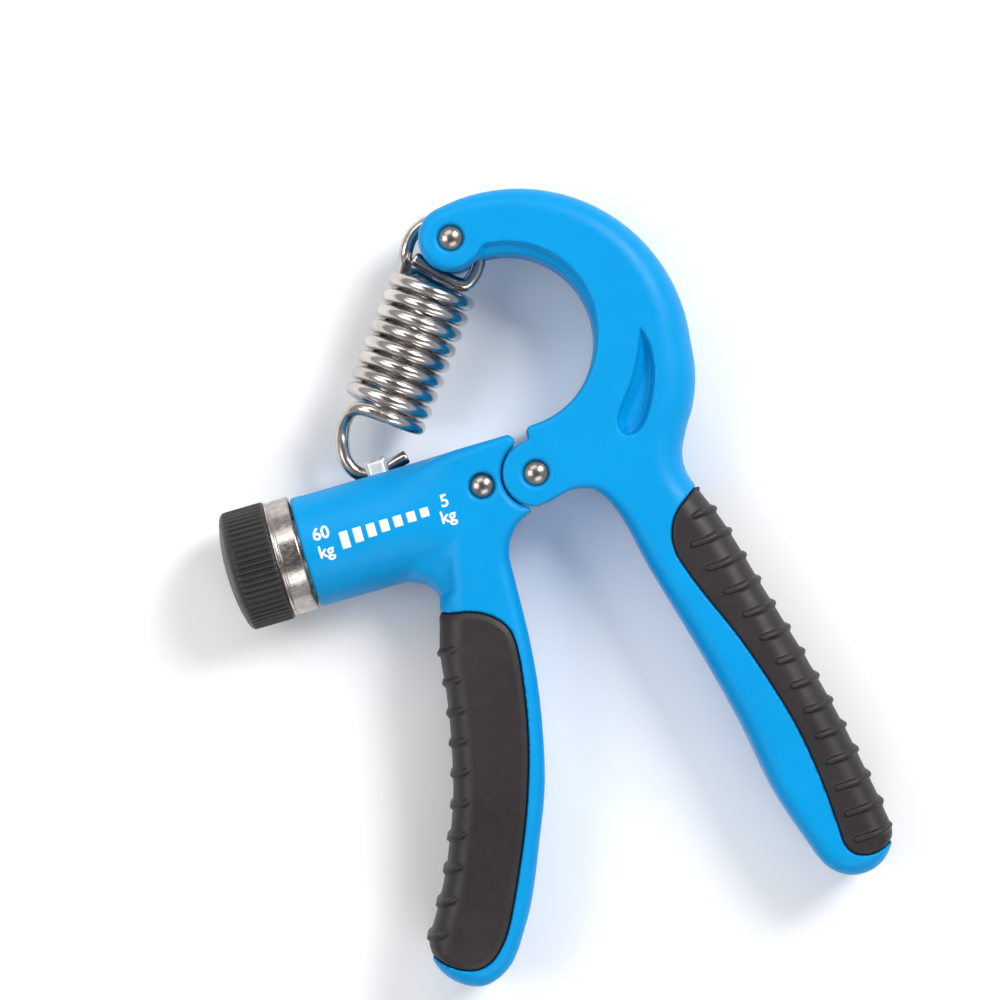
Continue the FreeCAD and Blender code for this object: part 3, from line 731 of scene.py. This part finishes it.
def make_bush():
    """Sleeve on the anchor rivet, inside the boss, that the spring's loop hangs on."""
    low, high = corners("anchor_bush")
    radius = LOOP_R - WIRE_R - math.dist(LOOP_CENTRE, ANCHOR) - 0.05
    inner = RIVET_R + RIVET_CLEARANCE
    profile = rounded([(high[2], inner + 0.3), (high[2], radius), (low[2], radius), (low[2], inner),
                       (high[2], inner), (high[2], inner + 0.3)], 0.1)
    return turned("anchor_sleeve", profile, (ANCHOR[0], ANCHOR[1], 0), "z")


def make_knob():
    """Knob with fine ribs, a domed outer end and a round socket that the ring hides."""
    rib_count = 60
    outer, inner = KNOB_X
    radius, socket_r, socket_x = 11.45, 5.9, -56.6
    ribs_from, ribs_to = outer + 3.65, inner - 0.45
    flank = [(x, radius) for x in np.linspace(ribs_from, ribs_to, 22)]
    crown = [tuple(p) for p in smooth_line([
        (outer + 1.4, 0), (outer + 1.55, 3.8), (outer + 1.95, 7.0), (outer + 2.4, 9.0),
        (outer + 2.75, 10.2), (outer + 3.1, 10.95), (outer + 3.55, radius - 0.1)], 0.4)]
    mouth = [(inner, radius - 0.35), (inner, socket_r), (socket_x, socket_r), (socket_x, 0)]

    def knurl(profile, angle):
        x = profile[:, 0][:, None]
        on_flank = profile[:, 1][:, None] > radius - 0.3
        fade = ease((x - ribs_from + 0.3) / 1.1) * ease((ribs_to + 0.2 - x) / 0.7)
        groove = 0.5 + 0.5 * np.cos(rib_count * angle)[None, :]
        return np.where(on_flank, fade, 0) * (0.06 - 0.55 * groove ** 1.6)

    return turned("knob_cap_ribbed", crown + flank + rounded([flank[-1]] + mouth, 0.3)[1:],
                  (0, SCREW_Y, MID), "x", 480, knurl)


def make_ring():
    """Bright ring with a fine groove near the knob."""
    x0, x1 = RING_X
    inner = 10.1
    profile = rounded([(x0 + 0.3, inner), (x0, inner + 0.2), (x0, 11.1), (x0 + 0.5, 11.15),
                       (x0 + 0.62, 10.97), (x0 + 0.9, 10.97), (x0 + 1.0, 11.1), (x1 - 0.3, 11.13),
                       (x1, 10.95), (x1, inner), (x0 + 0.3, inner)], 0.12)
    return turned("knob_ring_polished", profile, (0, SCREW_Y, MID), "x", 160)


def make_screw():
    """M6 screw with a rolled thread of 1 mm pitch, its groove for the clip and its plain tip."""
    pitch, depth, radius, head_r, core_r, tip_r = 1.0, 0.55, 3.0, 5.2, 2.4, 2.0
    shank_r, shank_end = radius - 0.01, BORE_END_X - 0.4
    clip_low, clip_high = corners("retaining_clip")[0][0], corners("retaining_clip")[1][0]
    steps = np.arange(clip_high + 0.3, BORE_END_X - 0.6, pitch / 10)
    thread = [(x, radius) for x in steps]

    def spiral(profile, angle):
        x = profile[:, 0][:, None]
        on_thread = (profile[:, 1][:, None] == radius) & (x > clip_high + 0.25)
        turn = (x - angle[None, :] / (2 * math.pi) * pitch) / pitch
        tooth = np.abs(turn - np.floor(turn) - 0.5) * 2
        run_in = ease((x - clip_high - 0.3) / 1.0) * ease((BORE_END_X - 0.7 - x) / 1.0)
        return -depth * np.where(on_thread, np.clip(tooth * 1.3 - 0.15, 0, 1) * run_in, 0)

    head = [(SCREW_X[0], 0), (SCREW_X[0], head_r), (RING_X[0], head_r), (RING_X[0], shank_r),
            (clip_low, shank_r), (clip_low, core_r), (clip_high, core_r), (clip_high, shank_r)]
    tip = [(shank_end, shank_r), (shank_end, tip_r), (SCREW_X[1], tip_r), (SCREW_X[1], 0)]
    return turned("lead_screw_threaded", head + thread + tip, (0, SCREW_Y, MID), "x", 64, spiral)


# ---- carriage ----
def make_carriage():
    """Nut with its lug: a cast block with chamfered corners, drilled for the spring's hook."""
    low, high = corners("carriage_nut")
    grid = Grid(low - 0.6, high + 0.6, NUT_STEP)
    radius, bore_r, half = 7.3, 3.05, 2.7
    hole_y, hole_r = 8.3, 1.85
    top = high[1]
    lug_x = (NUT_X[0] + 0.7, NUT_X[1] - 0.8)
    middle, length = sum(lug_x) / 2, (lug_x[1] - lug_x[0]) / 2
    nut = np.maximum(grid.along_barrel(radius),
                     np.abs(grid.x - sum(NUT_X) / 2) - (NUT_X[1] - NUT_X[0]) / 2)
    in_x, in_z = np.abs(grid.x - middle), np.abs(grid.z - MID)
    lug = np.maximum(np.maximum(in_x - length, in_z - half),
                     np.maximum(grid.y - top, SCREW_Y + 3 - grid.y))
    diagonal = math.sqrt(0.5)
    lug = common(lug, (in_z + grid.y - top - half + 1.2) * diagonal, 0.2)
    lug = common(lug, (in_x + in_z - length - half + 0.9) * diagonal, 0.2)
    lug = common(lug, (in_x + grid.y - top - length + 0.9) * diagonal, 0.2)
    field = join(nut, lug, 0.5)
    # the hole widens to both ends, because the hook tilts in it
    widened = 1 + 0.27 * np.abs(grid.x - middle)
    hole = np.hypot((grid.y - hole_y) / widened, grid.z - MID) - hole_r
    field = cut(cut(field, hole, 0.2), grid.along_barrel(bore_r), 0.2)
    return carved("carriage_nut_cast", field, grid)


# ---- spring ----
def on_coil(turns):
    """Centre line of the wire, counted in turns from the first coil's right side."""
    turns = np.atleast_1d(turns)[:, None]
    angle = 2 * math.pi * turns
    across = np.array([-SPRING_AXIS[1], SPRING_AXIS[0], 0])
    start = np.array([ANCHOR[0], ANCHOR[1], MID])
    along = COIL_START + COIL_PITCH * turns + COIL_TILT * np.cos(angle)
    return (start + SPRING_AXIS * along + COIL_R * across * np.cos(angle)
            + COIL_R * np.array([0, 0, 1.0]) * np.sin(angle))


def on_loop(degrees, rise=0.0):
    angle = math.radians(degrees)
    return (LOOP_CENTRE[0] + LOOP_R * math.cos(angle), LOOP_CENTRE[1] + LOOP_R * math.sin(angle),
            MID + rise)


def upper_wire():
    """Path from the cut end through the loop round the bush and the coils, to the last turn."""
    tail = [(-10.8, 45.8, MID + 0.5), (-8.6, 43.0, MID + 0.4), (-6.3, 40.6, MID + 0.3),
            (-4.4, 38.8, MID + 0.1), (-2.6, 38.1, MID)]
    loop = [on_loop(a) for a in range(-46, 150, 14)]
    neck = [on_loop(160, -0.1), on_loop(173, -0.9), (-13.4, 43.4, MID - 2.6)]
    entry = list(on_coil(np.linspace(LOOP_END_TURN, 0, 8)))
    lead = smooth_line(tail + loop + neck + entry, 0.8)
    turns = np.arange(TURN_STEP, SPLIT_TURN + 1e-6, TURN_STEP)
    return np.vstack([lead, on_coil(turns)]), len(lead)


def lower_wire():
    """Path from the last turn over the shoulder and down the leg, through the lug."""
    turns = np.arange(SPLIT_TURN, LAST_TURN, TURN_STEP)
    wound = on_coil(turns)
    rest = smooth_line([
        wound[-1], (-26.9, 20.1, MID + 6.9), (-28.7, 21.0, MID + 6.0), (-30.4, 20.9, MID + 4.4),
        (-32.0, 19.5, MID + 2.4), (-33.1, 17.5, MID + 0.9), (-33.8, 15.0, MID + 0.2),
        (-33.9, 12.6, MID), (-33.2, 10.5, MID), (-31.9, 9.0, MID), (-30.2, 8.4, MID),
        (-28.0, 8.4, MID), (-26.0, 9.0, MID), (-24.2, 9.5, MID), (-22.5, 9.9, MID)], 0.6)
    return np.vstack([wound, rest[1:]]), len(wound)


def weights(piece):
    """Reads the values along the wire's path from the piece into an array; nothing is set from them."""
    share = np.zeros(len(piece.data.vertices), np.float32)
    piece.data.attributes["along"].data.foreach_get("value", share)


def make_spring():
    """The wire in two tubes. Shares along each are worked out, but neither tube is tied to a body."""
    path, lead = upper_wire()
    upper = tube("spring_loop_and_coils", path, WIRE_R)
    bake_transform(upper)
    follow = np.zeros(len(path))
    follow[lead:] = np.linspace(0, 1, len(path) - lead)
    weights(upper)
    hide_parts("spring_upper_loop", "spring_coils")

    path, wound = lower_wire()
    lower = tube("spring_turn_and_hook", path, WIRE_R)
    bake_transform(lower)
    eye_length, share_at_shoulder = 9.0, 0.25
    leg = np.cumsum(np.linalg.norm(np.diff(path[wound - 1:], axis=0), axis=1))
    bent = (1 - share_at_shoulder) * ease(leg / (leg[-1] - eye_length))
    follow = np.concatenate([np.linspace(0, share_at_shoulder, wound), share_at_shoulder + bent])
    weights(lower)
    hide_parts("spring_last_turn", "spring_hook")
    return upper, lower


# ---- printed scale on the barrel ----
def on_barrel(points, lift):
    """Points of a flat print, laid on the front of the barrel and the block it runs into."""
    points = np.array(points, float)
    share = plate_share(points[:, 0])
    off = points[:, 1] - SCREW_Y
    height = np.full(len(points), BARREL_R)
    # Newton's steps to the face
    for _ in range(6):
        reach = np.hypot(off, height)
        field = (1 - share) * (reach - BARREL_R) + share * (height - MID)
        height = height - field / ((1 - share) * height / reach + share)
    height += (MID - height) * ease(inside_handle(points[:, 0], points[:, 1]) / HANDLE_FADE)
    return np.column_stack([points[:, 0], points[:, 1], MID + height + lift])


def printed_patch(name, x0, x1, y0, y1):
    columns, rows = 4, 9
    x, y = np.meshgrid(np.linspace(x0, x1, columns), np.linspace(y0, y1, rows))
    flat = np.column_stack([x.ravel(), y.ravel()])
    top, bottom = on_barrel(flat, PRINT_LIFT), on_barrel(flat, -PRINT_DEPTH)
    count = columns * rows
    upper = grid_faces(rows, columns, closed=False)
    lower = upper[:, ::-1] + count
    edge = ([(0, c) for c in range(columns)] + [(r, columns - 1) for r in range(1, rows)]
            + [(rows - 1, c) for c in range(columns - 2, -1, -1)]
            + [(r, 0) for r in range(rows - 2, 0, -1)])
    ring = np.array([r * columns + c for r, c in edge])
    after = np.roll(ring, -1)
    wall = np.column_stack([after, ring, ring + count, after + count])
    return mesh_piece(name, np.vstack([top, bottom]) * MM, np.vstack([upper, lower, wall]))


def cut_in_strips(mesh, size):
    """Cuts flat letters across in narrow strips, so that they can follow the round face."""
    shape = bmesh.new()
    shape.from_mesh(mesh)
    for y in np.arange(-size, size, LETTER_STRIP):
        everything = shape.verts[:] + shape.edges[:] + shape.faces[:]
        bmesh.ops.bisect_plane(shape, geom=everything, plane_co=(0, y, 0), plane_no=(0, 1, 0))
    bmesh.ops.triangulate(shape, faces=shape.faces)
    shape.to_mesh(mesh)
    shape.free()


def printed_text(name, words, x, y):
    """Bold letters centred on a place of the barrel."""
    curve = bpy.data.curves.new(name, "FONT")
    curve.body = words
    curve.size = LETTER_SIZE
    curve.align_x, curve.align_y = "CENTER", "CENTER"
    curve.offset = 0.06
    curve.extrude = 0.11
    curve.resolution_u = 6
    flat = bpy.data.objects.new(name, curve)
    bpy.context.scene.collection.objects.link(flat)
    bpy.context.view_layer.update()
    shaped = flat.evaluated_get(bpy.context.evaluated_depsgraph_get())
    mesh = bpy.data.meshes.new_from_object(shaped)
    bpy.data.objects.remove(flat)
    cut_in_strips(mesh, LETTER_SIZE)
    places = np.array([v.co for v in mesh.vertices], float)
    laid = on_barrel(places[:, :2] + (x, y), 0)
    laid[:, 2] += np.where(places[:, 2] > 0, PRINT_LIFT, -PRINT_DEPTH)
    mesh.vertices.foreach_set("co", (laid * MM).astype(np.float32).ravel())
    mesh.update()
    piece = bpy.data.objects.new(name, mesh)
    bpy.context.scene.collection.objects.link(piece)
    return piece


def make_scale():
    """Seven bars that get shorter towards the hinge, between the highest and the lowest setting."""
    pieces = []
    first_x, spacing, half_width, top_y = -37.95, 2.63, 0.83, -0.4
    for i, height in enumerate((3.3, 2.85, 2.55, 2.3, 2.1, 1.95, 1.75)):
        x = first_x + spacing * i
        pieces.append(printed_patch("scale_bar_%d" % (i + 1), x - half_width, x + half_width,
                                    top_y - height, top_y))
    for name, words, x, y in (("scale_high", "60", -42.0, 0.3),
                              ("scale_high_unit", "kg", -41.9, -3.2),
                              ("scale_low", "5", -18.0, -0.3),
                              ("scale_low_unit", "kg", -18.1, -3.3)):
        pieces.append(printed_text(name, words, x, y))
    return pieces


# ---- materials ----
def new_material(name):
    material = bpy.data.materials.new(name)
    material.use_nodes = True
    nodes = material.node_tree.nodes
    return material, nodes, material.node_tree.links, nodes["Principled BSDF"]


def noise(nodes, links, place, scale, detail=4.0, roughness=0.55, stretch=None):
    """Noise in the object's own coordinates. scale counts its grains per metre."""
    texture = nodes.new("ShaderNodeTexNoise")
    texture.inputs["Scale"].default_value = scale
    texture.inputs["Detail"].default_value = detail
    texture.inputs["Roughness"].default_value = roughness
    source = place.outputs["Object"]
    if stretch is not None:
        mapping = nodes.new("ShaderNodeMapping")
        mapping.inputs["Scale"].default_value = stretch
        links.new(source, mapping.inputs["Vector"])
        source = mapping.outputs["Vector"]
    links.new(source, texture.inputs["Vector"])
    return texture.outputs["Fac"]


def ranged(nodes, links, value, low, high, from_low=0.3, from_high=0.7):
    node = nodes.new("ShaderNodeMapRange")
    node.inputs["From Min"].default_value = from_low
    node.inputs["From Max"].default_value = from_high
    node.inputs["To Min"].default_value = low
    node.inputs["To Max"].default_value = high
    links.new(value, node.inputs["Value"])
    return node.outputs["Result"]


def shaded(nodes, links, value, dark, light):
    mix = nodes.new("ShaderNodeMix")
    mix.data_type = "RGBA"
    mix.inputs["A"].default_value = (*dark, 1)
    mix.inputs["B"].default_value = (*light, 1)
    links.new(value, mix.inputs["Factor"])
    return mix.outputs["Result"]


def bumps(nodes, links, shader, layers):
    """Stacks bump layers of (height, depth in millimetres)."""
    before = None
    for height, depth in layers:
        bump = nodes.new("ShaderNodeBump")
        bump.inputs["Strength"].default_value = 1.0
        bump.inputs["Distance"].default_value = depth * MM
        links.new(height, bump.inputs["Height"])
        if before is not None:
            links.new(before, bump.inputs["Normal"])
        before = bump.outputs["Normal"]
    links.new(before, shader.inputs["Normal"])


def plastic(name, dark, light, rough, grain_depth=0.012, grain=5200, patch=55, specular=0.4):
    """Moulded plastic or rubber: faint patches of tone, a fine spark-eroded grain, uneven gloss."""
    material, nodes, links, shader = new_material(name)
    place = nodes.new("ShaderNodeTexCoord")
    patches = ranged(nodes, links, noise(nodes, links, place, patch), 0, 1)
    links.new(shaded(nodes, links, patches, dark, light), shader.inputs["Base Color"])
    fine = noise(nodes, links, place, grain, 2.0)
    wide = noise(nodes, links, place, patch * 6)
    links.new(ranged(nodes, links, wide, rough - 0.05, rough + 0.06), shader.inputs["Roughness"])
    bumps(nodes, links, shader, [(fine, grain_depth), (wide, grain_depth * 0.6)])
    shader.inputs["Specular IOR Level"].default_value = specular
    return material


def metal(name, dark, light, rough, patch=260, stretch=None, scratch_depth=0.004, spread=0.1):
    """Plated metal: drawn or tumbled marks in its gloss, and a slightly cloudy tone."""
    material, nodes, links, shader = new_material(name)
    place = nodes.new("ShaderNodeTexCoord")
    cloud = ranged(nodes, links, noise(nodes, links, place, patch), 0, 1)
    links.new(shaded(nodes, links, cloud, dark, light), shader.inputs["Base Color"])
    marks = noise(nodes, links, place, patch * 8, 3.0, 0.6, stretch)
    links.new(ranged(nodes, links, marks, rough - spread / 2, rough + spread),
              shader.inputs["Roughness"])
    bumps(nodes, links, shader, [(marks, scratch_depth)])
    shader.inputs["Metallic"].default_value = 1.0
    return material


def make_materials():
    return {
        "blue_plastic": plastic("blue_soft_touch", (0.0, 0.274, 0.625), (0.0, 0.301, 0.675), 0.38,
                                grain_depth=0.010, specular=0.16),
        "black_rubber": plastic("black_overmoulded_rubber", (0.017, 0.013, 0.014),
                                (0.027, 0.022, 0.024), 0.46, grain_depth=0.016, grain=3600,
                                specular=0.37),
        "knob_plastic": plastic("black_ribbed_plastic", (0.016, 0.016, 0.017),
                                (0.024, 0.023, 0.024), 0.42, grain_depth=0.01, specular=0.45),
        "ring_chrome": metal("hazy_chrome", (0.31, 0.275, 0.25), (0.62, 0.58, 0.55), 0.2, patch=420,
                             stretch=(0.25, 1, 1), spread=0.16),
        "rivet_nickel": metal("domed_nickel", (0.31, 0.28, 0.26), (0.42, 0.385, 0.36), 0.24,
                              patch=120, scratch_depth=0.0008, spread=0.04),
        "spring_steel": metal("nickel_plated_wire", (0.46, 0.42, 0.39), (0.69, 0.65, 0.62), 0.16,
                              patch=180),
        "zinc_steel": metal("zinc_plated_steel", (0.42, 0.43, 0.43), (0.60, 0.61, 0.60), 0.3),
        "zinc_casting": metal("bright_zinc_casting", (0.70, 0.74, 0.76), (0.92, 0.95, 0.97), 0.42,
                              patch=900, scratch_depth=0.02, spread=0.2),
        "white_nylon": plastic("natural_nylon", (0.74, 0.73, 0.69), (0.82, 0.81, 0.78), 0.4),
        "print": plastic("white_ink", (0.86, 0.87, 0.88), (0.95, 0.95, 0.95), 0.5,
                         grain_depth=0.006),
    }


def dress(piece, material):
    piece.data.materials.clear()
    piece.data.materials.append(material)


# ---- stage ----
def make_floor(height):
    size = 3.0
    points = [(x * size, y * size, height) for x, y in ((-1, -1), (1, -1), (1, 1), (-1, 1))]
    floor = mesh_piece("studio_floor", points, np.array([[0, 1, 2, 3]]))
    dress(floor, plastic("pale_floor", (0.93, 0.93, 0.935), (0.95, 0.95, 0.95), 0.75,
                         patch=3, grain=900))


def area_light(name, place, target, width, height, power):
    light = bpy.data.lights.new(name, "AREA")
    light.shape = "RECTANGLE"
    light.size, light.size_y = width, height
    light.energy = power
    lamp = bpy.data.objects.new(name, light)
    bpy.context.scene.collection.objects.link(lamp)
    lamp.location = place
    direction = np.array(target, float) - np.array(place, float)
    lamp.rotation_euler = Vector(direction).to_track_quat("-Z", "Y").to_euler()


def make_lights():
    """Soft lamps from four sides under a grey dome that gets darker overhead."""
    middle = (0.0, -0.02, 0.01)
    area_light("key_right", (0.75, 0.38, 0.85), middle, 0.45, 0.55, 10.5)
    area_light("fill_left", (-0.70, 0.20, 0.85), middle, 0.6, 0.6, 4.0)
    area_light("fill_far", (-0.1, 0.85, 0.90), middle, 0.9, 0.5, 3.3)
    area_light("fill_near", (0.1, -0.85, 0.90), middle, 0.9, 0.5, 3.3)
    world = bpy.data.worlds.new("studio")
    bpy.context.scene.world = world
    world.use_nodes = True
    nodes, links = world.node_tree.nodes, world.node_tree.links
    coordinates = nodes.new("ShaderNodeTexCoord")
    split = nodes.new("ShaderNodeSeparateXYZ")
    links.new(coordinates.outputs["Generated"], split.inputs["Vector"])
    tone = shaded(nodes, links, ranged(nodes, links, split.outputs["Z"], 0, 1, 0.6, 0.96),
                  (0.62, 0.62, 0.63), (0.22, 0.21, 0.21))
    links.new(tone, nodes["Background"].inputs["Color"])
    nodes["Background"].inputs["Strength"].default_value = 0.72


def make_camera():
    """Straight above the front face, turned so that the barrel rises to the hinge."""
    camera = bpy.data.cameras.new("camera")
    distance, width_seen, aim, turn = 900.0, 190.0, (-7.9, -3.0), -16.2
    camera.sensor_width = 36.0
    camera.lens = camera.sensor_width * distance / width_seen
    camera.clip_start, camera.clip_end = 0.05, 20
    viewer = bpy.data.objects.new("camera", camera)
    bpy.context.scene.collection.objects.link(viewer)
    viewer.location = np.array([*aim, MID + distance]) * MM
    viewer.rotation_euler = (0, 0, math.radians(turn))
    bpy.context.scene.camera = viewer
    bpy.context.scene.view_settings.view_transform = "Standard"


# ---- put together ----
def main():
    make_camera()
    materials = make_materials()
    # looks for the pieces that stay as in the CAD
    for node, piece in frame["nodes"].items():
        dress(piece, materials[SLOT_OF[node]])

    def fit(piece, node, body):
        """Puts a detailed piece in the place of a node."""
        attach(piece, body)
        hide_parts(node)
        dress(piece, materials[SLOT_OF[node]])

    fit(make_fixed_frame(), "fixed_frame", "frame")
    fit(make_palm_grip(), "palm_grip", "frame")
    fit(make_rivet("hinge_rivet_domed", (0, 0), THICKNESS), "hinge_rivet", "frame")
    fit(make_rivet("anchor_rivet_domed", ANCHOR, THICKNESS), "anchor_rivet", "frame")
    fit(make_washer("hinge_washer_round", (0, 0)), "hinge_rivet_washer", "frame")
    fit(make_washer("anchor_washer_round", ANCHOR), "anchor_rivet_washer", "frame")

    fit(make_lever_housing(), "lever_housing", "lever")
    fit(make_finger_grip(), "finger_grip", "lever")
    fit(make_rivet("housing_rivet_domed", HOUSING_RIVET, BARREL_RIVET_FACE_Z),
        "housing_rivet", "lever")
    fit(make_washer("housing_washer_round", HOUSING_RIVET), "housing_rivet_washer", "lever")
    for piece in make_scale():
        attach(piece, "lever")
        dress(piece, materials["print"])

    fit(make_knob(), "knob_cap", "knob")
    fit(make_ring(), "knob_ring", "knob")
    fit(make_screw(), "lead_screw", "knob")
    fit(make_carriage(), "carriage_nut", "carriage")
    fit(make_bush(), "anchor_bush", "bush")
    for piece in make_spring():
        dress(piece, materials["spring_steel"])

    lowest = min(corners(node)[0][2] for node in frame["nodes"])
    make_floor((lowest - FLOOR_GAP) * MM)
    make_lights()


main()
